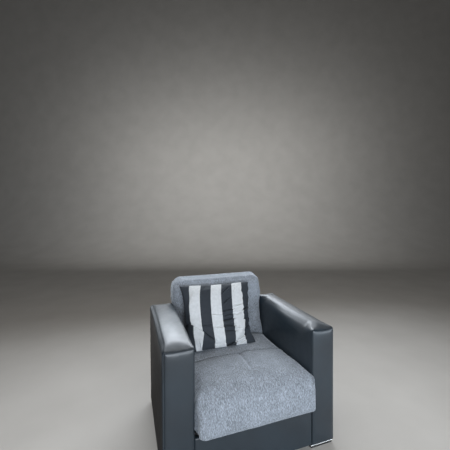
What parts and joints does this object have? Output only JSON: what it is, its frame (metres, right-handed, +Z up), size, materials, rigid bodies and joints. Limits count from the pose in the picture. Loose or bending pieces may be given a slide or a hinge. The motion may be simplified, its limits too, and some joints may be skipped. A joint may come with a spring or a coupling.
{
  "type": "armchair",
  "caption": "Upholstered club armchair with padded box arms, a sectioned seat, a reclined back, low metal feet and a loose striped scatter cushion.",
  "frame": {"origin": "on the floor, under the centre of the chair's bounding box", "axes": "+Z up, -Y the way the sitter faces, +X towards the arm on the right as seen from the front"},
  "size_m": [0.888, 0.7886, 0.7933],
  "materials": {
    "leather": "polyurethane-coated leather cloth, charcoal black, satin",
    "chenille": "mottled grey chenille",
    "striped_cotton": "plain-woven cotton in broad charcoal and white stripes",
    "deck_board": "plywood under black lining cloth",
    "dust_cloth": "black spunbonded cambric",
    "chrome": "chrome-plated flat steel",
    "black_plastic": "moulded black polypropylene"
  },
  "bodies": {
    "root": {"arm_left": "leather", "arm_front_left": "leather", "arm_rear_left": "leather", "arm_right": "leather", "arm_front_right": "leather", "arm_rear_right": "leather", "glide_front_left": "black_plastic", "foot_bar_front_left": "chrome", "foot_spacer_front_left": "black_plastic", "glide_rear_left": "black_plastic", "foot_bar_rear_left": "chrome", "foot_spacer_rear_left": "black_plastic", "glide_front_right": "black_plastic", "foot_bar_front_right": "chrome", "foot_spacer_front_right": "black_plastic", "glide_rear_right": "black_plastic", "foot_bar_rear_right": "chrome", "foot_spacer_rear_right": "black_plastic", "front_rail": "leather", "rear_rail": "leather", "seat_deck": "deck_board", "dust_cover": "dust_cloth", "seat_front": "chenille", "seat_rear": "chenille", "back_cushion": "chenille", "outside_back": "leather", "scatter_cushion": "striped_cotton"}
  },
  "joints": []
}
